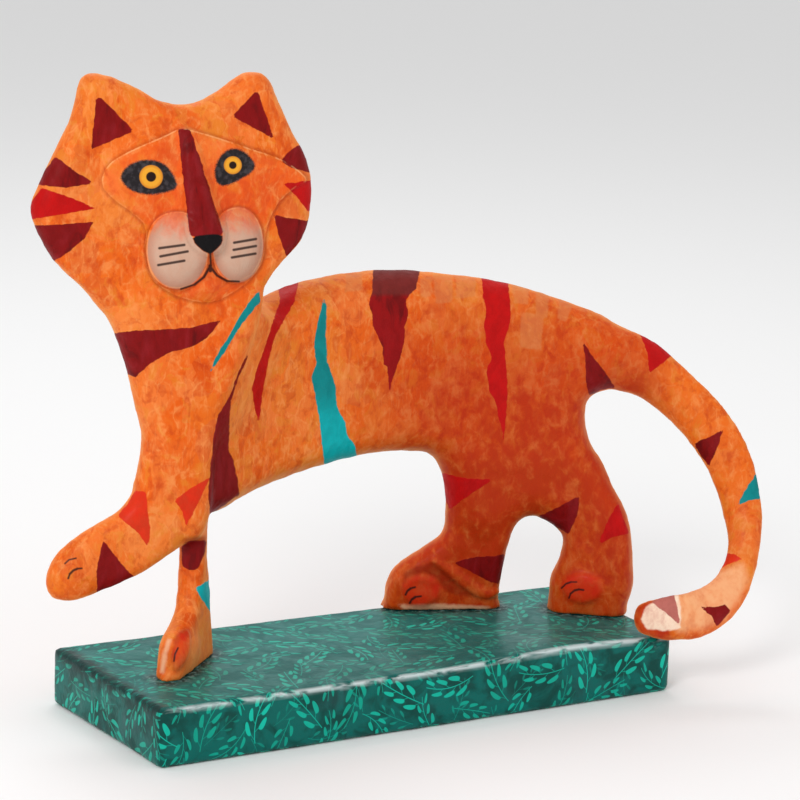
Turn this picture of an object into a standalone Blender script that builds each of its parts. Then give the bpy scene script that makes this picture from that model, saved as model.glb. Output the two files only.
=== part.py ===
# A tiger of paper pulp over card boards, standing on a low plinth covered in patterned paper.
# Metres, +Z up. The origin is the centre of the plinth's underside, +X runs along the plinth to
# the tail end, and the painted show side of the tiger looks towards -Y.

import math

import bmesh
import bpy
import numpy as np
from mathutils import Matrix, Vector

# Plinth: a hand-made box, so its two long sides and its two ends differ a little
PLINTH_FRONT_LENGTH = 0.298
PLINTH_BACK_LENGTH = 0.305
PLINTH_LEFT_WIDTH = 0.120
PLINTH_RIGHT_WIDTH = 0.111
PLINTH_HEIGHT = 0.030
PLINTH_EDGE_ROUND = 0.003
PLINTH_EDGE_STEPS = 4

# Tiger: everything but its board thicknesses keeps its proportion to the height
TIGER_HEIGHT = 0.301          # soles to ear tips
TORSO_THICKNESS = 0.030
CHEST_THICKNESS = 0.022
HEAD_THICKNESS = 0.016
RAISED_LEG_THICKNESS = 0.015
STANDING_LEG_THICKNESS = 0.013
HIND_LEG_THICKNESS = 0.019
TORSO_RIM = 0.016             # depth of the rounded rim all round a board
CHEST_RIM = 0.011
HEAD_RIM = 0.008
RAISED_LEG_RIM = 0.008
STANDING_LEG_RIM = 0.0045
HIND_LEG_RIM = 0.007
SOLE_GAP = 0.0003             # the soles' clearance over the plinth

# Outlines and places of the tiger are drawn at this height, in drawn millimetres
DRAWN_HEIGHT = 301.0
UNIT = TIGER_HEIGHT / DRAWN_HEIGHT
SOLE_LEVEL = PLINTH_HEIGHT + SOLE_GAP
SOLE_TRIM = 6.0               # drawn length of the feet below the soles, trimmed off flat

# Fineness of the figure
BOARD_VOXEL = 0.0024
EDGE_SHARE = 0.4              # nearer the outline than this share of a voxel is on the edge
WELD = 0.00001
FUSE_VOXEL = 0.0022
CURVE_STEPS = 6               # steps of a smooth curve between two drawn points
SMOOTH_PASSES = 5
SMOOTH_FACTOR = 0.5
TIGER_TRIANGLES = 8200

# The torso board is bent in plan to an arc round this centre
TORSO_BEND_RADIUS = 240.0
TORSO_BEND_CENTRE = (10.0, -200.0)
BELLY_LEVEL = 84.0
HIP_RISE = 40.0               # the hips reach this far below the belly
HIP_THINNING = 0.36           # share of the torso's thickness lost over the hips

# Flat boards: a point of the plan and a heading in degrees, turned from +X towards +Y
FRONT_BOARD = ((-109.0, 3.0), -8.0)
STANDING_LEG_BOARD = ((-109.0, -1.0), 43.5)
HIND_FAR_BOARD = ((71.0, 43.0), -22.0)
HIND_NEAR_BOARD = ((133.0, 4.0), -42.0)
HIND_FAR_LEAN = 0.14          # the far hind leg leans in under the torso as it rises

# Drawn outlines: distance along the board, height above the soles
TORSO_OUTLINE = [
    (-118, 80), (-97, 73), (-75, 78), (-47, 83), (-18, 87), (9, 90), (34, 89), (44, 86),
    (50, 76), (53, 62), (57, 48), (66, 38), (79, 37), (88, 44), (98, 51.5), (109, 47.5),
    (119, 40), (130, 36), (141, 42), (145, 56), (142, 69), (137, 80), (129, 93), (126, 106),
    (128, 117), (140, 123), (151, 137), (151, 150), (141, 156), (130, 162), (109, 169),
    (83, 177), (53, 182), (21, 186), (-7, 186), (-38, 183), (-62, 178), (-90, 177),
    (-110, 188), (-122, 180), (-124, 130),
]
CHEST_OUTLINE = [
    (40, 192), (38, 172), (33, 157), (26, 142), (20, 127), (17, 108), (16, 85), (12, 69),
    (4, 64), (-8, 64), (-17, 74), (-24, 90), (-22, 103), (-20, 118), (-23, 130),
    (-28, 151), (-34, 170), (-40, 186), (-30, 200), (20, 205),
]
RAISED_LEG_OUTLINE = [
    (4, 92), (2, 66), (-7, 58), (-17, 51.5), (-30, 46), (-44, 41.5), (-56, 38), (-65, 39.5),
    (-69, 46), (-68, 55), (-63, 63), (-54, 70.5), (-42, 77), (-32, 82), (-25, 90), (-16, 102),
]
STANDING_LEG_OUTLINE = [
    (-24, -6), (-24, 2), (-22, 10), (-19, 19), (-12, 23), (-4, 26), (3, 33), (6, 44),
    (7, 56), (6, 72), (4, 90), (24, 90), (22, 70), (22, 56), (25, 42), (28, 26),
    (30, 10), (30, -6),
]
HIND_FAR_OUTLINE = [
    (-1, 74), (-4, 56), (-5, 42), (-16, 32.5), (-28, 24.5), (-34, 15), (-35, 4), (-34, -6),
    (26, -6), (26, 4), (27, 14), (29, 30), (33, 48), (36, 74),
]
HIND_NEAR_OUTLINE = [
    (-10, 74), (-14, 56), (-13, 42), (-15, 29), (-19, 19), (-20, 11), (-20, 2), (-19, -6),
    (20, -6), (22, 4), (25, 13), (25, 24), (23, 43), (18, 59), (6, 74),
]
HEAD_OUTLINE = [
    (-39, 181), (-51, 194), (-65, 208), (-74, 223), (-78, 234), (-75, 244), (-67, 260),
    (-58, 279), (-54, 295), (-50, 300), (-42, 299.5), (-32, 296), (-22, 291), (-13, 285.5),
    (2, 284), (13, 288), (24, 295), (31, 299), (38, 298.5), (43, 294), (47, 285),
    (54, 270), (61, 259), (65, 247), (65.5, 234), (63, 220), (57, 210), (47, 200),
    (38, 188), (20, 178), (0, 175), (-22, 176),
]

# Tail: plan place, height above the soles, breadth and thickness at stations from the root
TAIL_STATIONS = [
    (132.0, 8.0, 141.0, 34.0, 24.0), (150.0, -4.0, 135.5, 33.0, 22.0),
    (165.5, -12.0, 125.5, 27.5, 17.0), (180.5, -28.0, 107.5, 27.0, 13.0),
    (190.0, -40.0, 88.0, 26.0, 12.0), (193.0, -50.0, 65.0, 22.5, 12.0),
    (189.0, -60.0, 43.0, 17.5, 12.0), (177.0, -65.0, 23.5, 21.0, 12.0),
    (160.0, -65.0, 13.5, 26.0, 12.0), (142.0, -61.0, 11.5, 25.0, 12.0),
    (128.0, -54.5, 11.5, 16.0, 11.0),
]
TAIL_HEADING = -40.0          # the broad side of the tail is square to this heading
TAIL_SIDES = 20
TAIL_TIP = 3.0                # drawn length of the rounded end past the last station

# Face: it leans a little, so its centre line runs from the brow point to the chin point
BROW_POINT = (-6.0, 274.0)
CHIN_POINT = (5.0, 196.0)

# Lumps of the face: across the face's centre line, height above the soles, proud of the
# middle of the head board; the mounds' radii go across, up and proud
LEFT_CHEEK = ((-10, 213, 2), (19, 20, 19))
RIGHT_CHEEK = ((16, 214, 2), (17, 19.5, 18))
CHIN = ((1, 198, 2), (15, 10, 14))
MASK_CORNERS = [
    (-39, 258, 11), (-22, 267, 12.5), (0, 274, 13), (22, 267, 12.5), (47, 257, 11),
    (58, 245, 9), (-34, 224, 8), (44, 224, 8), (0, 206, 8), (-40, 258, 2), (0, 276, 2),
    (59, 246, 2), (-18, 245, 14), (22, 247, 14),
]
NOSE_CORNERS = [
    (-6, 276, 6), (7, 276, 6), (1, 275, 14), (-15, 222, 6), (17, 222, 6), (-4, 222, 26),
    (7, 221, 27), (-6, 208, 12), (8, 208, 12), (1, 211, 24),
]

# The shoulder's corners: along a board, height above the soles, proud of the board's middle
SHOULDER_ON_CHEST = [
    (0, 190, 8), (29, 180, 9), (12, 110, 6), (0, 110, -4), (19, 130, 8), (30, 186, 0),
]
SHOULDER_ON_TORSO = [
    (-48, 162, 13.5), (-64, 145, 13), (-82, 118, 13), (-58, 175, 3), (-90, 175, -8),
    (-100, 112, -6),
]

# Paw bulges: place along the leg's board, height above the soles, and radii across, up, proud
FAR_PAW = ((-14, 9), (17, 10, 5))
NEAR_PAW = ((0, 14), (16, 13, 5))
RAISED_PAW = ((-54, 52), (12, 12, 5))
STANDING_PAW = ((-6, 10), (17, 11, 5))
PAW_SINK = 2.5                # how far a bulge's middle sits below the board's face
MOUND_SEGMENTS = 28
MOUND_RINGS = 18


def metres(value):
    return value * UNIT


def smooth_curve(points, closed):
    # Catmull-Rom curve through the drawn points
    drawn = [np.array(point, dtype=float) for point in points]
    count = len(drawn)
    pieces = count if closed else count - 1
    curve = []
    for index in range(pieces):
        if closed:
            before, start, end, after = (drawn[(index + shift) % count] for shift in (-1, 0, 1, 2))
        else:
            before = drawn[max(index - 1, 0)]
            start = drawn[index]
            end = drawn[index + 1]
            after = drawn[min(index + 2, count - 1)]
        for step in range(CURVE_STEPS):
            t = step / CURVE_STEPS
            linear = (end - before) * t
            square = (2.0 * before - 5.0 * start + 4.0 * end - after) * t * t
            cube = (3.0 * start - before - 3.0 * end + after) * t * t * t
            curve.append(0.5 * (2.0 * start + linear + square + cube))
    if not closed:
        curve.append(drawn[-1])
    return np.array(curve)


def plain_mesh(obj, name):
    # The object's evaluated shape as a mesh of its own; the object is removed
    depsgraph = bpy.context.evaluated_depsgraph_get()
    mesh = bpy.data.meshes.new_from_object(obj.evaluated_get(depsgraph))
    mesh.name = name
    bpy.data.objects.remove(obj)
    return mesh


def working_object(name, data):
    obj = bpy.data.objects.new(name, data)
    bpy.context.scene.collection.objects.link(obj)
    return obj


def remeshed(mesh, voxel):
    obj = working_object(mesh.name, mesh)
    modifier = obj.modifiers.new("voxels", 'REMESH')
    modifier.mode = 'VOXEL'
    modifier.voxel_size = voxel
    return plain_mesh(obj, mesh.name)


def get_points(mesh):
    points = np.empty(len(mesh.vertices) * 3)
    mesh.vertices.foreach_get("co", points)
    return points.reshape(-1, 3)


def set_points(mesh, points):
    mesh.vertices.foreach_set("co", np.ascontiguousarray(points, dtype=float).ravel())
    mesh.update()


def cut_board(name, loop, thickness):
    # A board with square edges, lying in its own XY plane, its middle plane at Z = 0
    curve = bpy.data.curves.new(name, 'CURVE')
    curve.dimensions = '2D'
    curve.fill_mode = 'BOTH'
    curve.extrude = thickness / 2.0
    spline = curve.splines.new('POLY')
    spline.points.add(len(loop) - 1)
    for point, place in zip(spline.points, loop):
        point.co = (place[0], place[1], 0.0, 1.0)
    spline.use_cyclic_u = True
    mesh = plain_mesh(working_object(name, curve), name)
    shape = bmesh.new()
    shape.from_mesh(mesh)
    bmesh.ops.remove_doubles(shape, verts=shape.verts, dist=WELD)
    bmesh.ops.recalc_face_normals(shape, faces=shape.faces)
    shape.to_mesh(mesh)
    shape.free()
    return remeshed(mesh, BOARD_VOXEL)


def round_rim(points, loop, thickness, rim):
    # Square edges become an elliptical rim: rim deep, as thick as the board
    starts = loop
    spans = np.roll(loop, -1, axis=0) - loop
    lengths = np.maximum((spans ** 2).sum(axis=1), 1e-12)
    area = 0.5 * np.sum(loop[:, 0] * np.roll(loop[:, 1], -1) - np.roll(loop[:, 0], -1) * loop[:, 1])
    inward = np.stack([-spans[:, 1], spans[:, 0]], axis=1) * math.copysign(1.0, area)
    inward /= np.linalg.norm(inward, axis=1)[:, None]
    flat = points[:, :2]
    offset = flat[:, None, :] - starts[None]
    share = np.clip((offset * spans[None]).sum(axis=2) / lengths[None], 0.0, 1.0)
    nearest = starts[None] + share[:, :, None] * spans[None]
    distance = np.linalg.norm(flat[:, None, :] - nearest, axis=2)
    closest = distance.argmin(axis=1)
    rows = np.arange(len(points))
    edge = nearest[rows, closest]
    depth = distance[rows, closest]
    normal = inward[closest]
    away = (flat - edge) / np.maximum(depth, 1e-9)[:, None]
    well_inside = depth > EDGE_SHARE * BOARD_VOXEL
    direction = np.where(well_inside[:, None], away, normal)
    depth = np.where(well_inside, depth, 0.0)
    toward_edge = 1.0 - np.minimum(depth / rim, 1.0)
    toward_face = np.clip(np.abs(points[:, 2]) / (thickness / 2.0), 0.0, 1.0)
    on_wall = toward_edge > toward_face
    quarter = math.pi / 4.0
    angle = np.where(on_wall, toward_face * quarter, 2.0 * quarter - toward_edge * quarter)
    new_depth = np.where(depth < rim, rim * (1.0 - np.cos(angle)), depth)
    height = np.sign(points[:, 2]) * thickness / 2.0 * np.sin(angle)
    place = edge + direction * new_depth[:, None]
    return np.column_stack([place, height])


def board_frame(board):
    # Origin, along and facing directions of an upright flat board, facing the show side
    (x, y), heading = board
    turn = math.radians(heading)
    origin = np.array([metres(x), metres(y), 0.0])
    along = np.array([math.cos(turn), math.sin(turn), 0.0])
    facing = np.array([math.sin(turn), -math.cos(turn), 0.0])
    return origin, along, facing


def stand_flat(points, board, lean=0.0):
    # Stands a board up; it leans toward the show side by this share of its rise
    origin, along, facing = board_frame(board)
    up = np.array([0.0, 0.0, 1.0])
    proud = points[:, 2] + lean * points[:, 1]
    return (origin + points[:, :1] * along + proud[:, None] * facing
            + (points[:, 1:2] + SOLE_LEVEL) * up)


def stand_bent(points):
    # Stands the torso board up along its arc; the hips thin down to the legs
    radius = metres(TORSO_BEND_RADIUS)
    angle = points[:, 0] / radius
    thinning = np.clip((metres(BELLY_LEVEL) - points[:, 1]) / metres(HIP_RISE), 0.0, 1.0)
    reach = radius - points[:, 2] * (1.0 - HIP_THINNING * thinning)
    x = metres(TORSO_BEND_CENTRE[0]) + reach * np.sin(angle)
    y = metres(TORSO_BEND_CENTRE[1]) + reach * np.cos(angle)
    return np.column_stack([x, y, points[:, 1] + SOLE_LEVEL])


def board(name, outline, thickness, rim, stand):
    loop = smooth_curve(outline, True) * UNIT
    mesh = cut_board(name, loop, thickness)
    rounded = round_rim(get_points(mesh), loop, thickness, rim)
    set_points(mesh, stand(rounded))
    return mesh


def tail_mesh(name):
    # Loft of flattened rings along the tail's curve; the ends close on a rounded point
    curve = smooth_curve(TAIL_STATIONS, False) * UNIT
    centres = curve[:, :3] + np.array([0.0, 0.0, SOLE_LEVEL])
    breadths, depths = curve[:, 3], curve[:, 4]
    turn = math.radians(TAIL_HEADING)
    facing = Vector((math.sin(turn), -math.cos(turn), 0.0))
    shape = bmesh.new()
    rings = []
    for index, centre in enumerate(centres):
        before = centres[max(index - 1, 0)]
        after = centres[min(index + 1, len(centres) - 1)]
        run = Vector(after - before).normalized()
        across = run.cross(facing).normalized()
        proud = across.cross(run)
        ring = []
        for side in range(TAIL_SIDES):
            angle = math.tau * side / TAIL_SIDES
            offset = across * (math.cos(angle) * breadths[index] / 2.0)
            offset += proud * (math.sin(angle) * depths[index] / 2.0)
            ring.append(shape.verts.new(Vector(centre) + offset))
        rings.append(ring)
    for first, second in zip(rings, rings[1:]):
        for side in range(TAIL_SIDES):
            following = (side + 1) % TAIL_SIDES
            shape.faces.new((first[side], first[following], second[following], second[side]))
    shape.faces.new(reversed(rings[0]))
    end = Vector(centres[-1])
    point = shape.verts.new(end + (end - Vector(centres[-2])).normalized() * metres(TAIL_TIP))
    for side in range(TAIL_SIDES):
        shape.faces.new((rings[-1][side], rings[-1][(side + 1) % TAIL_SIDES], point))
    bmesh.ops.recalc_face_normals(shape, faces=shape.faces)
    mesh = bpy.data.meshes.new(name)
    shape.to_mesh(mesh)
    shape.free()
    return mesh


def face_place(across, height, proud):
    # A place on the head: across the leaning centre line, height, and proud of the board's middle
    origin, along, facing = board_frame(FRONT_BOARD)
    lean = (CHIN_POINT[0] - BROW_POINT[0]) / (BROW_POINT[1] - CHIN_POINT[1])
    centre = BROW_POINT[0] + (BROW_POINT[1] - height) * lean
    place = origin + along * metres(centre + across) + facing * metres(proud)
    return Vector((place[0], place[1], metres(height) + SOLE_LEVEL))


def board_place(board_used, along_by, height, proud):
    origin, along, facing = board_frame(board_used)
    place = origin + along * metres(along_by) + facing * metres(proud)
    return Vector((place[0], place[1], metres(height) + SOLE_LEVEL))


def arc_place(along_by, height, proud):
    point = np.array([[metres(along_by), metres(height), metres(proud)]])
    return Vector(stand_bent(point)[0])


def mound(name, centre, radii, heading):
    # Half an ellipsoid, cut flat behind: radii across, up and proud of a board's heading
    shape = bmesh.new()
    bmesh.ops.create_uvsphere(shape, u_segments=MOUND_SEGMENTS, v_segments=MOUND_RINGS,
                              radius=1.0)
    whole = shape.verts[:] + shape.edges[:] + shape.faces[:]
    bmesh.ops.bisect_plane(shape, geom=whole, plane_co=(0, 0, 0), plane_no=(0, 1, 0),
                           clear_outer=True)
    bmesh.ops.holes_fill(shape, edges=[edge for edge in shape.edges if edge.is_boundary])
    across, up, proud = (metres(radius) for radius in radii)
    place = Matrix.Translation(centre) @ Matrix.Rotation(math.radians(heading), 4, 'Z')
    bmesh.ops.transform(shape, matrix=place @ Matrix.Diagonal((across, proud, up, 1.0)),
                        verts=shape.verts)
    mesh = bpy.data.meshes.new(name)
    shape.to_mesh(mesh)
    shape.free()
    return mesh


def wedge(name, corners):
    # A convex lump round its corners
    shape = bmesh.new()
    for corner in corners:
        shape.verts.new(corner)
    hull = bmesh.ops.convex_hull(shape, input=shape.verts)
    inside = {item for item in hull["geom_interior"] if isinstance(item, bmesh.types.BMVert)}
    bmesh.ops.delete(shape, geom=list(inside), context='VERTS')
    bmesh.ops.recalc_face_normals(shape, faces=shape.faces)
    mesh = bpy.data.meshes.new(name)
    shape.to_mesh(mesh)
    shape.free()
    return mesh


def face_relief():
    lumps = [
        wedge("mask", [face_place(*corner) for corner in MASK_CORNERS]),
        wedge("nose", [face_place(*corner) for corner in NOSE_CORNERS]),
    ]
    for name, (place, radii) in (("left_cheek", LEFT_CHEEK), ("right_cheek", RIGHT_CHEEK),
                                 ("chin", CHIN)):
        lumps.append(mound(name, face_place(*place), radii, FRONT_BOARD[1]))
    return lumps


def shoulder():
    # Carries the chest's fold back into the side of the torso
    corners = [board_place(FRONT_BOARD, *corner) for corner in SHOULDER_ON_CHEST]
    corners += [arc_place(*corner) for corner in SHOULDER_ON_TORSO]
    return wedge("shoulder", corners)


def paw_mounds():
    paws = [
        ("far_paw", FAR_PAW, HIND_FAR_BOARD, HIND_LEG_THICKNESS),
        ("near_paw", NEAR_PAW, HIND_NEAR_BOARD, HIND_LEG_THICKNESS),
        ("raised_paw", RAISED_PAW, FRONT_BOARD, RAISED_LEG_THICKNESS),
        ("standing_paw", STANDING_PAW, STANDING_LEG_BOARD, STANDING_LEG_THICKNESS),
    ]
    lumps = []
    for name, ((along_by, height), radii), leg, thickness in paws:
        proud = thickness / 2.0 / UNIT - PAW_SINK
        lumps.append(mound(name, board_place(leg, along_by, height, proud), radii, leg[1]))
    return lumps


def tiger_meshes():
    def on_front(points):
        return stand_flat(points, FRONT_BOARD)

    def on_standing_leg(points):
        return stand_flat(points, STANDING_LEG_BOARD)

    def on_hind_far(points):
        return stand_flat(points, HIND_FAR_BOARD, HIND_FAR_LEAN)

    def on_hind_near(points):
        return stand_flat(points, HIND_NEAR_BOARD)

    boards = [
        board("torso", TORSO_OUTLINE, TORSO_THICKNESS, TORSO_RIM, stand_bent),
        board("chest", CHEST_OUTLINE, CHEST_THICKNESS, CHEST_RIM, on_front),
        board("head", HEAD_OUTLINE, HEAD_THICKNESS, HEAD_RIM, on_front),
        board("raised_leg", RAISED_LEG_OUTLINE, RAISED_LEG_THICKNESS, RAISED_LEG_RIM, on_front),
        board("standing_leg", STANDING_LEG_OUTLINE, STANDING_LEG_THICKNESS, STANDING_LEG_RIM,
              on_standing_leg),
        board("hind_far_leg", HIND_FAR_OUTLINE, HIND_LEG_THICKNESS, HIND_LEG_RIM, on_hind_far),
        board("hind_near_leg", HIND_NEAR_OUTLINE, HIND_LEG_THICKNESS, HIND_LEG_RIM,
              on_hind_near),
    ]
    return boards + [tail_mesh("tail"), shoulder()] + face_relief() + paw_mounds()


def fuse(name, meshes):
    # One skin round all the lumps, smoothed as pulp would be
    shape = bmesh.new()
    for mesh in meshes:
        shape.from_mesh(mesh)
        bpy.data.meshes.remove(mesh)
    joined = bpy.data.meshes.new(name)
    shape.to_mesh(joined)
    shape.free()
    skin = remeshed(joined, FUSE_VOXEL)
    obj = working_object(name, skin)
    smooth = obj.modifiers.new("smooth", 'SMOOTH')
    smooth.factor = SMOOTH_FACTOR
    smooth.iterations = SMOOTH_PASSES
    thin = obj.modifiers.new("thin", 'DECIMATE')
    thin.ratio = TIGER_TRIANGLES / (2.0 * len(skin.polygons))
    return plain_mesh(obj, name)


def painted(name, colour, roughness):
    material = bpy.data.materials.new(name)
    material.use_nodes = True
    shader = material.node_tree.nodes["Principled BSDF"]
    shader.inputs["Base Color"].default_value = (*colour, 1.0)
    shader.inputs["Roughness"].default_value = roughness
    shader.inputs["Metallic"].default_value = 0.0
    return material


def make_tiger(parts, cutters):
    tiger = bpy.data.objects.new("tiger", fuse("tiger", tiger_meshes()))
    parts.objects.link(tiger)
    tiger.data.materials.append(painted("tiger_paper", (0.80, 0.20, 0.03), 0.45))

    # The feet are trimmed flat, level with the plinth's top and its clearance
    shape = bmesh.new()
    bmesh.ops.create_cube(shape, size=1.0)
    trim = bpy.data.meshes.new("sole_trim")
    shape.to_mesh(trim)
    shape.free()
    cutter = bpy.data.objects.new("sole_trim", trim)
    cutters.objects.link(cutter)
    trim_depth = metres(4.0 * SOLE_TRIM)
    trim_size = 2.0 * TIGER_HEIGHT
    cutter.data.transform(Matrix.Diagonal((trim_size, trim_size, trim_depth, 1.0)))
    cutter.location = (0.0, 0.0, SOLE_LEVEL - trim_depth / 2.0)
    cutter.hide_render = True
    cutter.display_type = 'WIRE'
    cut = tiger.modifiers.new("soles", 'BOOLEAN')
    cut.operation = 'DIFFERENCE'
    cut.solver = 'EXACT'
    cut.object = cutter
    for face in tiger.data.polygons:
        face.use_smooth = True
    return tiger


def make_plinth(parts):
    shape = bmesh.new()
    bmesh.ops.create_cube(shape, size=1.0)
    for vert in shape.verts:
        at_back = vert.co.y > 0.0
        at_right = vert.co.x > 0.0
        length = PLINTH_BACK_LENGTH if at_back else PLINTH_FRONT_LENGTH
        width = PLINTH_RIGHT_WIDTH if at_right else PLINTH_LEFT_WIDTH
        vert.co.x *= length
        vert.co.y *= width
        vert.co.z = (vert.co.z + 0.5) * PLINTH_HEIGHT
    mesh = bpy.data.meshes.new("plinth")
    shape.to_mesh(mesh)
    shape.free()
    plinth = bpy.data.objects.new("plinth", mesh)
    parts.objects.link(plinth)
    rounding = plinth.modifiers.new("edges", 'BEVEL')
    rounding.width = PLINTH_EDGE_ROUND
    rounding.segments = PLINTH_EDGE_STEPS
    rounding.limit_method = 'NONE'
    mesh.materials.append(painted("plinth_paper", (0.0, 0.09, 0.07), 0.35))
    return plinth


def main():
    for obj in list(bpy.data.objects):
        bpy.data.objects.remove(obj)
    parts = bpy.data.collections.new("tiger_sculpture")
    cutters = bpy.data.collections.new("cutters")
    bpy.context.scene.collection.children.link(parts)
    bpy.context.scene.collection.children.link(cutters)
    make_plinth(parts)
    make_tiger(parts, cutters)


main()
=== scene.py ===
import math

import bmesh
import bpy
import numpy as np
from mathutils import Matrix


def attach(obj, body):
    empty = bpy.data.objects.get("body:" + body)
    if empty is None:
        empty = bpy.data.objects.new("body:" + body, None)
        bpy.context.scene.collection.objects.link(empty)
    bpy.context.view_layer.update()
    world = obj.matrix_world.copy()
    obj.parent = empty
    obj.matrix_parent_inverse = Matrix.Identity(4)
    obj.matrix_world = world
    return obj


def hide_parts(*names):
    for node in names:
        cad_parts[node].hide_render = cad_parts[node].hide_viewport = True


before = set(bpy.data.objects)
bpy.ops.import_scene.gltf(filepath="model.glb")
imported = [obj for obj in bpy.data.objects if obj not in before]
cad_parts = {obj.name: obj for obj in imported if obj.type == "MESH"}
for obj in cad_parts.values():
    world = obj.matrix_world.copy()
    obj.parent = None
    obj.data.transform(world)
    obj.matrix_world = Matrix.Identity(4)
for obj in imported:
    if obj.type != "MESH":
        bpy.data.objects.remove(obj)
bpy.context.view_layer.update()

mm = 0.001

# The view that all painted outlines are drawn in: a picture 800 units square
showView = {
    "eye": (-0.8745, -1.5571, 0.5575),  # metres
    "yaw": 29.69,                       # degrees, from +Y towards +X
    "pitch": 12.60,                     # degrees below the horizon
    "roll": 1.5,
    "reach": 3600.0,                    # picture units at a distance of one
    "middle": 400.0,
}


def viewAxes():
    yaw = math.radians(showView["yaw"])
    pitch = math.radians(showView["pitch"])
    roll = math.radians(showView["roll"])
    ahead = np.array([math.sin(yaw) * math.cos(pitch), math.cos(yaw) * math.cos(pitch),
                      -math.sin(pitch)])
    right = np.array([math.cos(yaw), -math.sin(yaw), 0.0])
    up = np.cross(right, ahead)
    turnedRight = math.cos(roll) * right + math.sin(roll) * up
    turnedUp = -math.sin(roll) * right + math.cos(roll) * up
    return turnedRight, turnedUp, ahead


def toPicture(points):
    # Where each point falls in the picture of the show side
    right, up, ahead = viewAxes()
    offset = points - np.array(showView["eye"])
    depth = offset @ ahead
    scale = showView["reach"] / depth
    across = showView["middle"] + scale * (offset @ right)
    down = showView["middle"] - scale * (offset @ up)
    return np.stack([across, down], axis=1)


# Meshes

def readField(items, field, width, kind=float):
    values = np.empty(len(items) * width, dtype=kind)
    items.foreach_get(field, values)
    return values.reshape(-1, width) if width > 1 else values


def readPoints(mesh):
    return readField(mesh.vertices, "co", 3)


def readNormals(mesh):
    return readField(mesh.vertex_normals, "vector", 3)


def writePoints(mesh, points):
    mesh.vertices.foreach_set("co", np.ascontiguousarray(points, dtype=float).ravel())
    mesh.update()


def bounded(values):
    return np.clip(values, 0.0, 1.0)


def storeNumber(mesh, name, values):
    layer = mesh.attributes.new(name, 'FLOAT', 'POINT')
    layer.data.foreach_set("value", np.ascontiguousarray(values, dtype=np.float32))


def storeVector(mesh, name, values):
    layer = mesh.attributes.new(name, 'FLOAT_VECTOR', 'POINT')
    layer.data.foreach_set("vector", np.ascontiguousarray(values, dtype=np.float32).ravel())


def addObject(name, data):
    obj = bpy.data.objects.new(name, data)
    bpy.context.scene.collection.objects.link(obj)
    return obj


def mergedCopy(node, name):
    shape = bmesh.new()
    shape.from_mesh(node.data)
    bmesh.ops.remove_doubles(shape, verts=shape.verts, dist=0.000002)
    mesh = bpy.data.meshes.new(name)
    shape.to_mesh(mesh)
    shape.free()
    mesh.materials.clear()
    return addObject(name, mesh)


def freeze(obj):
    # The modifiers' result becomes the object's plain mesh
    depsgraph = bpy.context.evaluated_depsgraph_get()
    result = bpy.data.meshes.new_from_object(obj.evaluated_get(depsgraph))
    obj.modifiers.clear()
    obj.data = result


def remesh(obj, voxel, passes):
    cells = obj.modifiers.new("cells", 'REMESH')
    cells.mode = 'VOXEL'
    cells.voxel_size = voxel
    ease = obj.modifiers.new("ease", 'SMOOTH')
    ease.factor = 0.5
    ease.iterations = passes
    freeze(obj)


# Node helpers, for the materials and for the paper relief

def linear(colour):
    # A colour as seen, 0 to 255, in the shader's linear values
    return tuple((value / 255.0) ** 2.2 for value in colour)


class Wiring:
    def __init__(self, tree):
        self.tree = tree

    def node(self, kind, inputs=None, **settings):
        # A node with its inputs, by name or number, set to a value or linked
        made = self.tree.nodes.new(kind)
        for key, value in settings.items():
            setattr(made, key, value)
        for key, value in (inputs or {}).items():
            self.feed(made.inputs[key], value)
        return made

    def feed(self, socket, value):
        if isinstance(value, bpy.types.NodeSocket):
            self.tree.links.new(value, socket)
        elif socket.type == 'RGBA':
            socket.default_value = (*value, 1.0)
        else:
            socket.default_value = value

    def math(self, operation, first, second=0.0):
        return self.node('ShaderNodeMath', {0: first, 1: second}, operation=operation).outputs[0]

    def plus(self, first, second):
        return self.math('ADD', first, second)

    def minus(self, first, second):
        return self.math('SUBTRACT', first, second)

    def times(self, first, *others):
        product = first
        for other in others:
            product = self.math('MULTIPLY', product, other)
        return product

    def vector(self, operation, first, second=(0.0, 0.0, 0.0)):
        made = self.node('ShaderNodeVectorMath', {0: first, 1: second}, operation=operation)
        return made.outputs["Value" if operation in ('DISTANCE', 'LENGTH', 'DOT_PRODUCT') else 0]

    def scaled(self, arrow, amount):
        made = self.node('ShaderNodeVectorMath', {0: arrow, "Scale": amount}, operation='SCALE')
        return made.outputs[0]

    def turned(self, arrow, angle):
        made = self.node('ShaderNodeVectorRotate', {"Vector": arrow, "Angle": angle},
                         rotation_type='Z_AXIS')
        return made.outputs[0]

    def split(self, value, kind='ShaderNodeSeparateXYZ'):
        return self.node(kind, {0: value}).outputs

    def ramp(self, value, low, high, bottom=0.0, top=1.0):
        made = self.node('ShaderNodeMapRange',
                         {"Value": value, "From Min": low, "From Max": high, "To Min": bottom,
                          "To Max": top}, interpolation_type='SMOOTHSTEP')
        return made.outputs["Result"]

    def noise(self, place, scale, detail=3.0, distortion=0.0, roughness=0.5, output=0):
        made = self.node('ShaderNodeTexNoise',
                         {"Vector": place, "Scale": scale, "Detail": detail,
                          "Distortion": distortion, "Roughness": roughness})
        return made.outputs[output]


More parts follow.
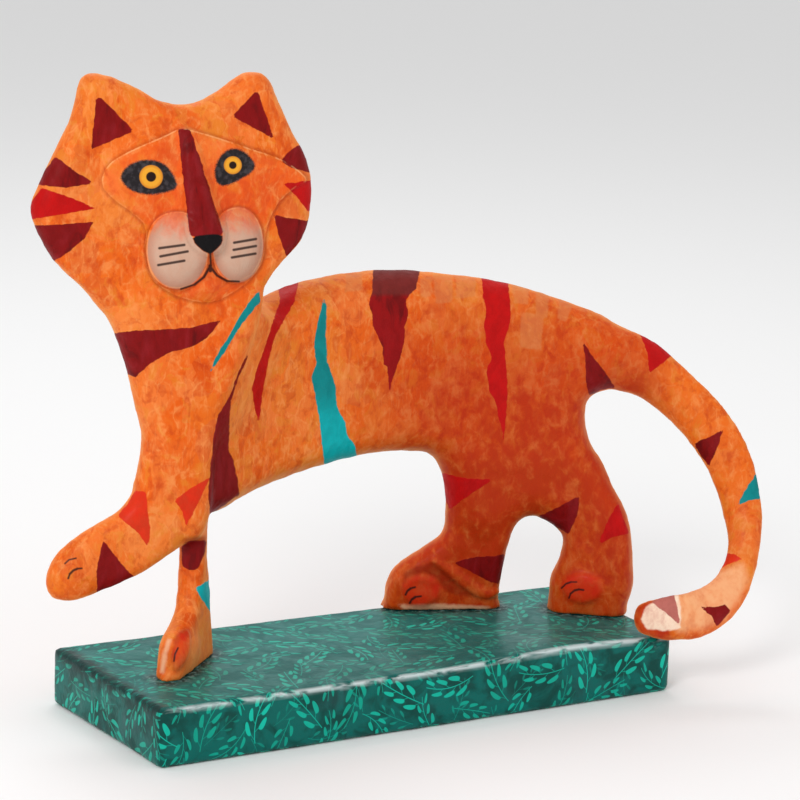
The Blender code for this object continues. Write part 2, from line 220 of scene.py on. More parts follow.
class Shading(Wiring):
    def __init__(self, name, look):
        self.look = look
        self.material = bpy.data.materials.new(name)
        self.material.use_nodes = True
        super().__init__(self.material.node_tree)
        self.shader = self.tree.nodes["Principled BSDF"]

    def attribute(self, name, kind="Fac"):
        return self.node('ShaderNodeAttribute', attribute_name=name).outputs[kind]

    def mix(self, share, first, second):
        # A colour is given by its name in the piece's dictionary or comes from another node
        made = self.node('ShaderNodeMix', {0: share}, data_type='RGBA', blend_type='MIX')
        for number, value in ((6, first), (7, second)):
            named = isinstance(value, str)
            self.feed(made.inputs[number], linear(self.look[value]) if named else value)
        return made.outputs[2]

    def cells(self, place, scale, feature='F1', kind="Color"):
        made = self.node('ShaderNodeTexVoronoi', {"Vector": place, "Scale": scale}, feature=feature)
        return made.outputs[kind]

    def placed(self, place, turn=(0, 0, 0), stretch=(1.0, 1.0, 1.0), shift=(0.0, 0.0, 0.0)):
        made = self.node('ShaderNodeMapping',
                         {"Vector": place, "Rotation": [math.radians(angle) for angle in turn],
                          "Scale": stretch, "Location": shift})
        return made.outputs[0]

    def grain(self, place, turn, length, scale, detail, distortion, roughness):
        # Noise drawn out along a turned direction
        drawn = self.placed(place, turn=turn, stretch=(1.0, 1.0, length))
        return self.noise(drawn, scale, detail, distortion, roughness)

    def objectPlace(self):
        return self.node('ShaderNodeTexCoord').outputs["Object"]

    def bump(self, height, distance, strength):
        made = self.node('ShaderNodeBump', {"Strength": strength, "Distance": distance,
                                            "Height": height})
        return made.outputs[0]


# Paper relief by Geometry Nodes: long swells, short creases and a fine tooth

reliefKinds = {
    # how fine the noise is, where it is taken, whether it makes ridges
    "swell": (2.0, 3.0, False),
    "crease": (3.0, 7.0, True),
    "tooth": (2.0, 11.0, False),
}


def reliefTree(name, material):
    tree = bpy.data.node_groups.new(name, 'GeometryNodeTree')
    tree.interface.new_socket("Geometry", in_out='INPUT', socket_type='NodeSocketGeometry')
    for kind in reliefKinds:
        for measure in ("Size", "Height"):
            tree.interface.new_socket(kind + measure, in_out='INPUT', socket_type='NodeSocketFloat')
    tree.interface.new_socket("Geometry", in_out='OUTPUT', socket_type='NodeSocketGeometry')
    net = Wiring(tree)
    start = net.node('NodeGroupInput')
    place = net.node('GeometryNodeInputPosition').outputs[0]
    total = 0.0
    for kind, (detail, shift, ridged) in reliefKinds.items():
        moved = net.vector('ADD', place, (shift, shift * 1.7, shift * 0.6))
        scale = net.math('DIVIDE', 1.0, start.outputs[kind + "Size"])
        value = net.minus(net.noise(moved, scale, detail, roughness=0.55), 0.5)
        if ridged:
            value = net.minus(0.12, net.math('ABSOLUTE', value))
            value = net.math('MAXIMUM', net.times(value, 6.0), 0.0)
        total = net.plus(total, net.times(value, start.outputs[kind + "Height"]))
    push = net.scaled(net.node('GeometryNodeInputNormal').outputs[0], total)
    move = net.node('GeometryNodeSetPosition', {"Geometry": start.outputs["Geometry"],
                                                "Offset": push})
    real = net.node('GeometryNodeRealizeInstances', {0: move.outputs[0]})
    covered = net.node('GeometryNodeSetMaterial', {"Geometry": real.outputs[0],
                                                   "Material": material})
    net.node('NodeGroupOutput', {0: covered.outputs[0]})
    return tree


def applyRelief(obj, tree, sizes):
    modifier = obj.modifiers.new("paperRelief", 'NODES')
    modifier.node_group = tree
    for item in tree.interface.items_tree:
        if item.item_type == 'SOCKET' and item.in_out == 'INPUT' and item.name in sizes:
            modifier[item.identifier] = float(sizes[item.name])
    freeze(obj)


# Painted outlines on the tiger, in picture units of the show view

stripesDarkRed = {
    "leftEar": [(96.5, 98.5), (101, 98), (133.3, 131), (92, 148.4)],
    "rightEar": [(257, 91), (273.2, 137.6), (233, 115.9)],
    "leftCheekUpper": [(55.3, 157), (72, 170), (93.2, 183.1), (65, 187), (36, 184), (41.2, 176)],
    "leftCheekLower": [(30, 226), (62, 225), (93.2, 222.1), (84, 238), (70, 250), (52, 262)],
    "rightCheekUpper": [(302, 144), (290, 151), (280.8, 161.4), (294, 168), (314, 173), (316, 160)],
    "rightCheekLower": [(274.3, 215.6), (290, 219), (315, 222), (300, 240), (287, 256), (280, 238)],
    "neck": [(113.7, 334), (133.5, 331), (165, 330), (192.8, 328), (219.5, 321), (207, 337),
        (192.8, 346), (169, 352), (150, 363), (135.5, 376.6), (127.6, 373.7), (120, 352)],
    "fold": [(247.7, 356), (238, 378), (230, 401), (229, 421), (228, 450), (233, 461), (236, 476),
        (239, 494), (210.7, 514), (209, 493), (211, 469), (214, 437), (218, 417), (229, 398), (243, 363)],
    "backMiddle": [(374, 266), (419, 266), (419, 274), (415.7, 287.5), (405, 300), (407.7, 316),
        (403.7, 326), (404.5, 337), (399, 359), (392.5, 377), (390, 389.6), (387.8, 367), (384, 364),
        (383, 346.5), (374, 326.6), (373.4, 316), (369.4, 304), (372.6, 292)],
    "tailRoot": [(583.5, 343.7), (597, 363), (608.7, 378), (614.5, 387.7), (602, 389), (589.6, 395),
        (586.7, 382), (585.8, 357)],
    "crotch": [(579, 497), (577, 515), (568, 533.6), (563, 530), (539.6, 516.6), (556, 509), (566, 503)],
    "tailMiddle": [(722, 431), (716, 450), (708.7, 465), (702, 456), (695, 444), (710, 437)],
    "hindLegLower": [(455.7, 563), (474, 557.5), (493, 556.8), (504, 555), (504, 566), (497.7, 584),
        (484, 578), (470, 571)],
    "raisedPaw": [(103.5, 541), (118, 561), (133.4, 577), (115, 586), (97.4, 593), (97.2, 570),
        (99.7, 558)],
    "standingLeg": [(181.3, 547.3), (190, 541), (206, 541), (204.7, 552), (197.5, 568.5), (189, 569.5),
        (183, 566)],
    "tailTipCurved": [(701, 607), (713, 608), (725.8, 604.6), (730, 611), (717, 625.5), (712, 616)],
}
stripeNose = {
    "ridge": [(178.9, 130), (189.7, 129.3), (223.3, 233), (208, 240), (189.7, 235)],
}
stripesBrightRed = {
    "leftCheek": [(41.2, 188.5), (68, 197), (94.3, 208), (62, 214), (30, 219), (30, 205)],
    "rightCheek": [(284, 183), (298, 183), (315, 180), (316, 200), (309, 211), (296, 195)],
    "shoulder": [(278, 287), (298, 282), (293.6, 302), (284, 319), (273, 340), (268, 359), (265, 376),
        (261.8, 394), (258.6, 421.5), (255, 408), (253.8, 402), (252.7, 388), (258.6, 365.7),
        (268, 338.6), (276, 314.6), (281, 298)],
    "backRear": [(482, 276), (508, 277), (508, 290), (510, 307), (509.6, 321), (503.5, 342), (505, 360),
        (506.8, 380.5), (506.8, 397), (503.6, 440), (500, 420), (496.3, 401.5), (490, 391.6),
        (487, 372), (492, 357), (487, 343.7), (484.7, 324.6), (487, 311), (484, 298)],
    "tailRoot": [(640, 333), (655, 341), (673, 353), (661, 364), (650, 372.4), (648, 353)],
    "thigh": [(440, 473), (460, 478), (491, 480), (470, 494), (449, 509), (443, 490)],
    "hindLeg": [(618, 504), (622, 518), (629, 532.7), (615, 536), (600, 543), (605.7, 526)],
}
stripesRedOrange = {
    "tail": [(727, 553.7), (735, 555), (742, 559), (730, 563), (716, 569), (721, 558)],
    "raisedLeg": [(135.7, 491), (145, 492), (147, 508), (149.4, 527.4), (148, 547), (139.5, 533.5),
        (128, 524), (118.8, 516), (128, 504)],
    "chest": [(209, 478.7), (199, 500), (186.6, 525), (183, 512), (175.5, 500.6), (190, 489)],
}
stripesTeal = {
    "chestEdge": [(259, 292), (259.7, 302), (253.8, 308), (246, 318), (237.8, 329), (225, 350),
        (210, 372), (214, 362), (218.7, 353), (228, 338.5), (236, 325), (242.6, 313), (249, 303)],
    "flank": [(323.6, 300), (325.9, 308), (325, 337), (326.8, 362.5), (334, 381.6), (335.5, 391),
        (336, 405.5), (344.7, 423), (347, 437), (354, 445), (357, 458), (325.6, 470), (322, 437),
        (317.6, 405.5), (312, 378.5), (316.8, 364), (314.4, 346.5), (317.6, 326), (320.8, 311.5)],
    "tail": [(756, 475), (763, 485), (760, 498), (749, 500), (739, 504), (746, 490)],
    "standingLeg": [(210, 580), (196, 588.6), (204, 601), (212, 613)],
}
stripesPurple = {
    "tailTip": [(652.5, 602), (664, 597), (673.5, 593.8), (677, 608), (679, 623), (667, 613)],
}
tipPale = {
    "end": [(641, 620), (645, 608), (655, 602), (678, 593), (681, 612), (680, 628), (664, 631),
        (648, 629)],
}
tipPeach = {
    "run": [(676, 594), (700, 589), (722, 573), (741, 566), (745, 580), (736, 600), (724, 616),
        (704, 626), (680, 630)],
}
eyesCharcoal = {
    "left": [(120.3, 176.6), (127, 167), (138, 161.5), (149.6, 160.3), (163, 163.5), (172, 173),
        (177.8, 187.4), (166, 191.5), (151.8, 194.4), (136, 192), (126, 186)],
    "right": [(214.7, 174.4), (217, 163), (224, 152.5), (234.2, 148.4), (246, 153), (255.9, 165.8),
        (250, 173), (240, 178.5), (230, 184), (219, 185.3)],
}
noseBlack = {
    "leather": [(192, 237), (199, 235.5), (208, 234.5), (217, 234), (223, 236), (222.5, 243),
        (217, 249), (210.5, 254.5), (203, 251), (195, 244)],
}
pawRed = {
    "hindFar": [(401, 588), (407, 579), (420, 575.5), (434, 578), (441, 588), (438, 600), (424, 606),
        (408, 605)],
    "hindNear": [(562, 588), (567, 578), (582, 573), (598, 578), (603, 589), (598, 600), (583, 603),
        (568, 600)],
    "standing": [(173, 650), (179, 634), (188, 630), (190, 645), (186, 662), (176, 673)],
}
# Painted highlights along the soles' lower edges
soleHighlightAreas = {
    "farFoot": [(398, 605), (415, 604.5), (440, 604), (462, 605), (490, 607), (486, 612), (430, 613),
        (404, 610)],
    "standingToe": [(160, 672), (163, 652), (168, 638), (171, 640), (167, 655), (164, 674)],
}
foldShades = {
    "farFoot": [(404, 573), (416, 566), (434, 562), (448, 573), (466, 588), (478, 597), (458, 596),
        (444, 590), (438, 580), (424, 573), (408, 578), (402, 590)],
    "standingLeg": [(196, 536), (206, 536), (206, 545), (183, 545), (184, 538)],
    "standingFoot": [(171, 655), (175, 636), (184, 627), (190, 630), (188, 636), (180, 642), (176, 655),
        (174, 672)],
}
# Pen lines: places, each with half the width of the line that runs on from it
inkLines = [
    [(159.4, 248.2, 1.1), (184.3, 244.9)],
    [(160.5, 256.4, 1.1), (187.6, 251.4)],
    [(158.3, 265.1, 1.1), (184.3, 260.7)],
    [(234.2, 242.7, 1.1), (255.9, 239)],
    [(233.7, 249.9, 1.1), (255.9, 246)],
    [(232, 257.5, 1.1), (255.4, 253.6)],
    [(210.3, 254, 0.9), (210.8, 266)],
    [(210, 266.5, 1.1), (204, 277, 1), (194.5, 284.5, 0.8), (181, 289)],
    [(210, 266.5, 1.1), (217, 275.5, 1), (227, 281, 0.8), (239, 281.5)],
    [(210.2, 266, 1.7), (210.4, 270.5)],
    [(405.6, 594.6, 0.9), (407.4, 591, 1), (410.6, 588.4, 0.8), (415, 587.2)],
    [(409.8, 603, 0.9), (411.6, 599.6, 1.1), (415.4, 597, 0.8), (421, 596.2)],
    [(561.6, 588, 0.7), (566, 583.8, 0.8), (571, 582, 0.6), (576.5, 582)],
    [(569, 598, 0.7), (570.6, 593.6, 0.9), (574.6, 590.4, 1), (579, 589.4, 0.8), (583.4, 590)],
    [(65, 563.5, 0.6), (69, 559.8, 0.6), (76, 558.2)],
    [(68.3, 578.3, 0.8), (69.8, 574, 1), (73.4, 570.4, 1), (77.4, 568.7, 0.7), (81.7, 568.3)],
    [(174, 661, 0.7), (175, 654, 0.7), (178, 648)],
]
irisSpots = [((151.1, 176.8), 11.7, 4.9), ((232.8, 165.2), 8.9, 3.7)]
backScraps = {
    "pastDarkStripe": [(433, 275), (452, 276), (453, 302), (436, 304)],
    "beforeRedStripe": [(456, 277), (476, 279), (475, 296), (456, 298)],
    "pastRedStripe": [(512, 283), (529, 286), (528, 304), (514, 303)],
    "rumpHigh": [(536, 289), (549, 292), (547, 318), (536, 316)],
    "rumpLow": [(521, 312), (543, 315), (541, 350), (520, 347)],
    "rumpEnd": [(560, 300), (572, 305), (566, 322), (557, 318)],
    "aheadOfDarkStripe": [(346, 274), (362, 273), (362, 290), (345, 292)],
    "besideDarkStripe": [(420, 278), (431, 277), (432, 296), (421, 297)],
}
muzzlePads = [((177.5, 250.0), (30.5, 39.0)), ((238.0, 244.5), (25.5, 38.0))]

# Layers of card and pulp that stand proud of the face and paws: outline, height in millimetres
# and the width of the step in picture units
raisedForms = {
    "mask": ([(107, 165), (124, 154), (148, 143), (165, 136), (180, 128), (196, 131), (228, 141),
        (254, 150), (279, 158), (296, 168), (310, 181), (290, 190), (274, 208), (265, 232), (264, 260),
        (252, 278), (240, 288), (222, 299), (206, 303), (188, 300), (166, 291), (151, 278), (145, 250),
        (147, 226), (132, 212), (114, 200), (100, 184)], 1.1, 2.0),
    "leftPad": ([(177, 211), (192, 214), (204, 226), (208, 250), (207, 270), (196, 284), (178, 289.5),
        (160, 285), (149, 270), (146, 250), (149, 228), (160, 215)], 1.6, 2.6),
    "rightPad": ([(213, 240), (218, 214), (236, 206), (252, 211), (262, 228), (263.5, 250), (257, 270),
        (242, 281.5), (226, 281), (214, 268)], 1.6, 2.6),
    "chin": ([(186, 290), (198, 284), (209, 276), (220, 281), (231, 286), (220, 297), (206, 301),
        (194, 298)], 0.9, 4.0),
    "nose": ([(184, 129), (193, 131), (226, 228), (222, 246), (209, 255), (195, 247), (187, 232)
        ], 0.9, 3.0),
    "farPaw": ([(401, 590), (407, 579), (420, 575.5), (434, 578), (441, 588), (438, 600), (424, 606),
        (408, 605)], 1.0, 5.0),
    "farFold": ([(428, 558), (440, 560), (460, 573), (486, 592), (497, 588), (499, 593), (486, 600),
        (470, 593), (452, 580), (438, 567)], 1.5, 4.0),
    "farToe": ([(384, 606), (388, 585), (400, 574), (402, 584), (400, 600), (400, 608)], 0.8, 3.0),
    "standingPaw": ([(172, 674), (173, 648), (180, 632), (189, 629), (190, 650), (184, 664)], 1.2, 4.0),
    "nearPaw": (pawRed["hindNear"], 1.0, 5.0),
}


def rounded(outline, rounds=2):
    # Corners cut off by a quarter of each side, as scissors round them
    corners = np.array(outline, dtype=float)
    for _ in range(rounds):
        following = np.roll(corners, -1, axis=0)
        early = corners * 0.75 + following * 0.25
        late = corners * 0.25 + following * 0.75
        corners = np.stack([early, late], axis=1).reshape(-1, 2)
    return [tuple(corner) for corner in corners]


def outlineDepth(spots, outline):
    # Distance inside an outline, negative outside it, in picture units
    corners = np.array(outline)
    following = np.roll(corners, -1, axis=0)
    nearest = np.full(len(spots), 1e9)
    inside = np.zeros(len(spots), dtype=bool)
    for start, end in zip(corners, following):
        span = end - start
        share = np.clip(((spots - start) @ span) / (span @ span), 0.0, 1.0)
        gap = np.linalg.norm(spots - start - share[:, None] * span, axis=1)
        nearest = np.minimum(nearest, gap)
        crosses = (start[1] > spots[:, 1]) != (end[1] > spots[:, 1])
        if span[1] != 0.0:
            edge = start[0] + (spots[:, 1] - start[1]) * span[0] / span[1]
            inside ^= crosses & (spots[:, 0] < edge)
    return np.where(inside, nearest, -nearest)


def deepest(spots, outlines, limit=14.0):
    depth = np.full(len(spots), -limit)
    for outline in outlines.values():
        corners = np.array(outline)
        low = corners.min(axis=0) - limit
        high = corners.max(axis=0) + limit
        near = ((spots > low) & (spots < high)).all(axis=1)
        depth[near] = np.maximum(depth[near], outlineDepth(spots[near], outline))
    return np.clip(depth, -limit, limit)


# Tiger

tigerLook = {
    "voxel": 1.45 * mm,
    "smoothPasses": 3,
    "relief": {"swellSize": 34 * mm, "swellHeight": 1.5 * mm, "creaseSize": 17 * mm,
               "creaseHeight": 0.35 * mm, "toothSize": 5 * mm, "toothHeight": 0.28 * mm},
    "soleLevel": 30.15 * mm,
    "orange": (234, 110, 32),
    "peach": (242, 152, 84),
    "haunch": (178, 46, 8),
    "mask": (236, 84, 34),
    "edgeHighlight": (255, 190, 130),
    "rimHighlight": (255, 172, 96),
    "scrap": (206, 128, 78),
    "soleHighlight": (240, 186, 146),
    # crease: painted shade, in the folds and just outside the raised edges of the mask and pads
    "crease": (140, 34, 12),
    "ochre": (222, 130, 40),
    "deepOrange": (224, 88, 14),
    "rust": (188, 60, 12),
    "stain": (20, 8, 8),
    "darkRed": (128, 12, 14),
    "darkRedSheen": (150, 36, 44),
    "darkRedDeep": (84, 6, 10),
    "darkRedWarm": (150, 10, 14),
    "darkRedReflection": (112, 44, 40),
    "brightRed": (190, 12, 12),
    "redOrange": (218, 40, 20),
    "teal": (0, 132, 134),
    "tealLight": (0, 172, 176),
    "purple": (190, 108, 98),
    "charcoal": (38, 34, 36),
    "charcoalGrey": (88, 82, 86),
    "black": (18, 14, 16),
    "ink": (44, 28, 26),
    "iris": (232, 160, 48),
    "irisRim": (208, 124, 38),
    "pupil": (40, 26, 22),
    "pad": (200, 168, 146),
    "padTan": (196, 150, 128),
    "padEdgeShade": (176, 118, 96),
    "tipPale": (250, 222, 196),
    "tipPeach": (242, 172, 122),
}
tissueGrains = {
    # turn in degrees, share of length along the grain, scale per metre, detail, distortion,
    # roughness
    "mottle": ((15, 40, 0), 1.0, 88.0, 4.0, 0.7, 0.58),
    "flecks": ((0, 25, 0), 0.7, 190.0, 5.0, 0.35, 0.6),
    "strokes": ((0, 35, 0), 0.22, 430.0, 3.0, 0.8, 0.5),
    "hatch": ((0, -62, 0), 0.36, 300.0, 3.0, 1.6, 0.5),
    "streaks": ((0, 12, 0), 0.34, 150.0, 4.0, 0.9, 0.5),
    "fibres": ((0, 30, 0), 0.3, 600.0, 4.0, 0.8, 0.5),
}
backStripe = {"left": 350.0, "right": 432.0, "capEnd": 292.0}  # picture units
flankTeal = {"top": 385.0, "light": 425.0, "right": 402.0}     # where it turns lighter
padFade = {"top": 212.0, "full": 243.0, "ragged": 46.0}        # the pads' tops fade out


class TigerShading(Shading):
    # What several parts of the tiger's paper share
    def __init__(self):
        super().__init__("tigerPaper", tigerLook)
        self.place = self.objectPlace()
        self.picture = self.attribute("picture", "Vector")
        self.across, self.down, _ = self.split(self.picture)
        self.front = self.attribute("showFace")
        self.onFace = self.times(self.front, self.attribute("headPart"))
        self.flecks = self.grain(self.place, *tissueGrains["flecks"])
        self.clouds = self.noise(self.place, 16.0, 3.0, 0.4)
        self.ragged = self.times(self.minus(self.noise(self.place, 260.0), 0.5), 3.2)

    def tornMask(self, name, low, high):
        return self.ramp(self.plus(self.attribute(name), self.ragged), low, high)


def tissue(kit):
    # Torn scraps in several oranges: two sets of pieces, mottling, flecks and brush strokes
    bend = kit.vector('SUBTRACT', kit.noise(kit.place, 55.0, output=1), (0.5, 0.5, 0.5))
    torn = kit.vector('ADD', kit.place, kit.scaled(bend, 0.016))
    big = kit.split(kit.cells(kit.placed(torn, turn=(20, 10, 30)), 42.0),
                    'ShaderNodeSeparateColor')
    small = kit.split(kit.cells(kit.placed(torn, turn=(60, 40, 10), stretch=(1.0, 1.0, 0.55)), 95.0),
                      'ShaderNodeSeparateColor')
    mottle = kit.grain(torn, *tissueGrains["mottle"])
    flecks = kit.flecks
    strokes = kit.grain(kit.place, *tissueGrains["strokes"])
    hatch = kit.grain(kit.place, *tissueGrains["hatch"])
    colour = kit.mix(kit.ramp(kit.clouds, 0.35, 0.7), "orange", "deepOrange")
    # pattern, where it sets in, where it is full, how strong, colour
    for pattern, low, high, strength, shade in (
            (big[0], 0.45, 1.0, 0.22, "peach"), (big[1], 0.5, 1.0, 0.45, "deepOrange"),
            (small[0], 0.55, 1.0, 0.22, "peach"), (small[1], 0.6, 1.0, 0.35, "rust"),
            (small[2], 0.72, 0.95, 0.28, "ochre"), (mottle, 0.52, 0.64, 0.5, "ochre"),
            (mottle, 0.46, 0.33, 0.42, "rust"), (flecks, 0.5, 0.72, 0.42, "peach"),
            (flecks, 0.46, 0.28, 0.45, "rust"), (strokes, 0.54, 0.72, 0.3, "peach"),
            (hatch, 0.55, 0.7, 0.16, "peach")):
        colour = kit.mix(kit.ramp(pattern, low, high, 0.0, strength), colour, shade)
    # Where scraps overlap, a thin paler or darker edge shows
    seams = kit.cells(kit.placed(torn, turn=(35, 10, 70), stretch=(1.0, 1.0, 0.7)), 125.0,
                      'DISTANCE_TO_EDGE', "Distance")
    for wide, thin, low, high, strength, shade in ((0.09, 0.015, 0.42, 0.6, 0.34, "peach"),
                                                   (0.16, 0.04, 0.5, 0.36, 0.26, "rust")):
        seam = kit.times(kit.ramp(seams, wide, thin), kit.ramp(flecks, low, high), strength)
        colour = kit.mix(seam, colour, shade)
    return colour, kit.times(big[2], 0.2)


def paintBody(kit, colour):
    # The haunches and the low parts are a darker red, partly the paper's own colour and partly painted
    # shade; a painted highlight runs along the rims, the back has paler scraps and the tail tip is pale
    flecks = kit.flecks
    along = kit.attribute("along")
    haunch = kit.times(kit.ramp(along, -0.025, 0.06), kit.ramp(along, 0.172, 0.145, 0.12, 1.0),
                       kit.ramp(kit.attribute("rise"), 0.235, 0.15, 0.0, 0.95),
                       kit.ramp(kit.plus(flecks, kit.clouds), 0.8, 1.15, 1.0, 0.66),
                       kit.ramp(kit.attribute("paintTipPeach"), -13.0, -8.0, 1.0, 0.0))
    colour = kit.mix(haunch, colour, "haunch")
    # Painted highlight along the rims, where the surface turns edge-on to the show view
    colour = kit.mix(kit.times(kit.attribute("rim"), 0.75), colour, "rimHighlight")
    scraps = kit.times(kit.tornMask("paintScraps", -1.5, 1.0), 0.4)
    colour = kit.mix(scraps, colour, "scrap")
    grain = kit.ramp(flecks, 0.3, 0.62, 0.55, 0.95)
    # The tail tip is pale; painted shade lies in the folds and a painted highlight along the soles' edges
    for name, low, high, strength, shade in (("paintTipPeach", -8.0, 3.0, grain, "tipPeach"),
                                             ("paintTipPale", -1.5, 1.0, grain, "tipPale"),
                                             ("paintFoldShade", -2.0, 2.5, 0.6, "crease"),
                                             ("paintSoleHighlight", -2.0, 2.0, 0.75, "soleHighlight")):
        patch = kit.times(kit.tornMask(name, low, high), strength, kit.front)
        colour = kit.mix(patch, colour, shade)
    return colour


def paintMask(kit, colour):
    # The raised mask is warmer, and painted shadow lies just outside its edge and the pads'
    warm = kit.times(kit.ramp(kit.attribute("paintMask"), -1.0, 6.0, 0.0, 0.4), kit.onFace,
                     kit.ramp(kit.flecks, 0.7, 0.4, 0.4, 1.0))
    colour = kit.mix(warm, colour, "mask")
    for name, strength in (("paintMask", 0.3), ("paintPads", 0.42)):
        depth = kit.attribute(name)
        dark = kit.times(kit.ramp(depth, -4.5, -0.8), kit.ramp(depth, 0.2, -0.6),
                         kit.onFace, strength)
        colour = kit.mix(dark, colour, "crease")
    return colour


def paintStripes(kit, colour, height):
    across, down = kit.across, kit.down
    streaks = kit.grain(kit.place, *tissueGrains["streaks"])
    darkRed = kit.mix(kit.ramp(streaks, 0.46, 0.72, 0.0, 0.38), "darkRed", "darkRedSheen")
    # The broad stripe on the back has a painted greyish reflection on its top, where the back turns up to
    # the light, and is warmer below it
    onBack = kit.times(kit.ramp(across, backStripe["left"], backStripe["left"] + 2.0),
                       kit.ramp(across, backStripe["right"], backStripe["right"] - 4.0))
    capEnd = backStripe["capEnd"]
    below = kit.times(onBack, kit.ramp(down, capEnd, capEnd + 6.0, 0.0, 0.75))
    darkRed = kit.mix(below, darkRed, "darkRedWarm")
    darkRed = kit.mix(kit.ramp(streaks, 0.46, 0.3, 0.0, 0.6), darkRed, "darkRedDeep")
    cap = kit.times(onBack, kit.ramp(down, capEnd + 6.0, capEnd), 0.75)
    darkRed = kit.mix(cap, darkRed, "darkRedReflection")
    lowFlank = kit.times(kit.ramp(down, flankTeal["top"], flankTeal["light"]),
                         kit.ramp(across, flankTeal["right"], flankTeal["right"] - 4.0))
    teal = kit.mix(lowFlank, "teal", "tealLight")
    blurred, cut = (-5.0, 4.0), (-1.1, -0.1)
    stain = kit.ramp(kit.flecks, 0.3, 0.7, 0.0, 0.18)
    for name, paper, (low, high), strength in (
            ("paintPawRed", "redOrange", blurred, kit.times(kit.front, 0.62)),
            ("paintRedOrange", "redOrange", cut, 0.92),
            ("paintBrightRed", "brightRed", cut, 1.0),
            ("paintPurple", "purple", cut, 1.0),
            ("paintTeal", teal, cut, 1.0),
            ("paintDarkRed", darkRed, cut, 1.0),
            ("paintNoseStripe", darkRed, cut, kit.onFace)):
        patch = kit.times(kit.tornMask(name, low, high), strength)
        colour = kit.mix(patch, colour, kit.mix(stain, paper, "stain"))
        height = kit.plus(height, kit.times(patch, 0.3))
    return colour, height


def paintMuzzle(kit, colour):
    flecks, down = kit.flecks, kit.down
    offNose = kit.times(kit.ramp(kit.attribute("paintNoseAll"), 0.4, -0.4), kit.onFace)
    fade = kit.plus(down, kit.times(kit.minus(flecks, 0.5), padFade["ragged"]))
    fade = kit.ramp(fade, padFade["top"], padFade["full"], 0.25, 0.93)
    for centre, radii in muzzlePads:
        shares = kit.placed(kit.picture, stretch=(1.0 / radii[0], 1.0 / radii[1], 0.0),
                            shift=(-centre[0] / radii[0], -centre[1] / radii[1], 0.0))
        out = kit.vector('LENGTH', shares)
        shade = kit.mix(kit.ramp(flecks, 0.3, 0.7, 0.0, 0.5), "pad", "padTan")
        # Painted shade darkens each pad towards its edge
        shade = kit.mix(kit.ramp(out, 0.62, 1.0, 0.0, 0.6), shade, "padEdgeShade")
        colour = kit.mix(kit.times(kit.ramp(out, 1.03, 0.95), fade, offNose), colour, shade)
    # A painted highlight along the raised edges of the mask, most at the brow, and of the pads
    brow = kit.ramp(down, 192.0, 172.0, 0.12, 0.42)
    for name, strength in (("paintMask", brow), ("paintPads", 0.22)):
        depth = kit.attribute(name)
        light = kit.times(kit.ramp(depth, -0.5, 0.2), kit.ramp(depth, 1.7, 0.7), offNose,
                          kit.ramp(flecks, 0.4, 0.56), strength)
        colour = kit.mix(light, colour, "edgeHighlight")
    return colour


def paintEyes(kit, colour):
    onFace = kit.onFace
    smudge = kit.times(kit.minus(kit.noise(kit.place, 1500.0, 2.0), 0.5), 3.0)
    eye = kit.times(kit.ramp(kit.plus(kit.attribute("paintEyes"), smudge), -2.3, 0.5), onFace)
    charcoal = kit.mix(kit.ramp(kit.noise(kit.place, 420.0), 0.42, 0.7, 0.0, 0.42), "charcoal",
                       "charcoalGrey")
    colour = kit.mix(eye, colour, charcoal)
    nose = kit.times(kit.ramp(kit.attribute("paintNose"), -0.8, 0.8), onFace)
    colour = kit.mix(nose, colour, "black")
    for centre, radius, pupil in irisSpots:
        away = kit.vector('DISTANCE', kit.picture, (*centre, 0.0))
        amber = kit.mix(kit.ramp(away, radius * 0.72, radius * 0.95, 0.0, 0.7), "iris", "irisRim")
        ring = kit.times(kit.ramp(away, radius + 0.6, radius - 0.6), onFace)
        colour = kit.mix(ring, colour, amber)
        inner = kit.times(kit.ramp(away, pupil + 0.7, pupil - 0.5), onFace)
        colour = kit.mix(inner, colour, "pupil")
    return colour


def strokeMask(kit, start, end, width):
    # 1 on a pen stroke between two places of the picture
    run = (end[0] - start[0], end[1] - start[1])
    length = run[0] ** 2 + run[1] ** 2
    offset = kit.vector('SUBTRACT', kit.picture, (*start, 0.0))
    share = kit.vector('DOT_PRODUCT', offset, (run[0] / length, run[1] / length, 0.0))
    share = kit.math('MINIMUM', kit.math('MAXIMUM', share, 0.0), 1.0)
    away = kit.vector('DISTANCE', offset, kit.scaled((*run, 0.0), share))
    return kit.ramp(away, width + 0.9, width - 0.5)


def paintInk(kit, colour):
    marks = 0.0
    for line in inkLines:
        for (x, y, width), end in zip(line, line[1:]):
            marks = kit.math('MAXIMUM', marks, strokeMask(kit, (x, y), end[:2], width))
    return kit.mix(kit.times(marks, kit.front, 0.92), colour, "ink")


def paintTiger():
    kit = TigerShading()
    colour, height = tissue(kit)
    colour = paintBody(kit, colour)
    colour = paintMask(kit, colour)
    colour, height = paintStripes(kit, colour, height)
    colour = paintMuzzle(kit, colour)
    colour = paintEyes(kit, colour)
    colour = paintInk(kit, colour)
    kit.feed(kit.shader.inputs["Base Color"], colour)
    # Varnish
    kit.feed(kit.shader.inputs["Roughness"], kit.ramp(kit.flecks, 0.3, 0.7, 0.46, 0.64))
    kit.shader.inputs["Specular IOR Level"].default_value = 0.12
    kit.shader.inputs["Coat Weight"].default_value = 0.035
    kit.shader.inputs["Coat Roughness"].default_value = 0.22
    fibres = kit.grain(kit.place, *tissueGrains["fibres"])
    height = kit.plus(height, kit.plus(kit.times(fibres, 0.55), kit.times(kit.flecks, 0.8)))
    kit.feed(kit.shader.inputs["Normal"], kit.bump(height, 0.45 * mm, 0.7))
    return kit.material


def facingEye(points, normals):
    toEye = np.array(showView["eye"]) - points
    toEye /= np.linalg.norm(toEye, axis=1)[:, None]
    return (normals * toEye).sum(axis=1)


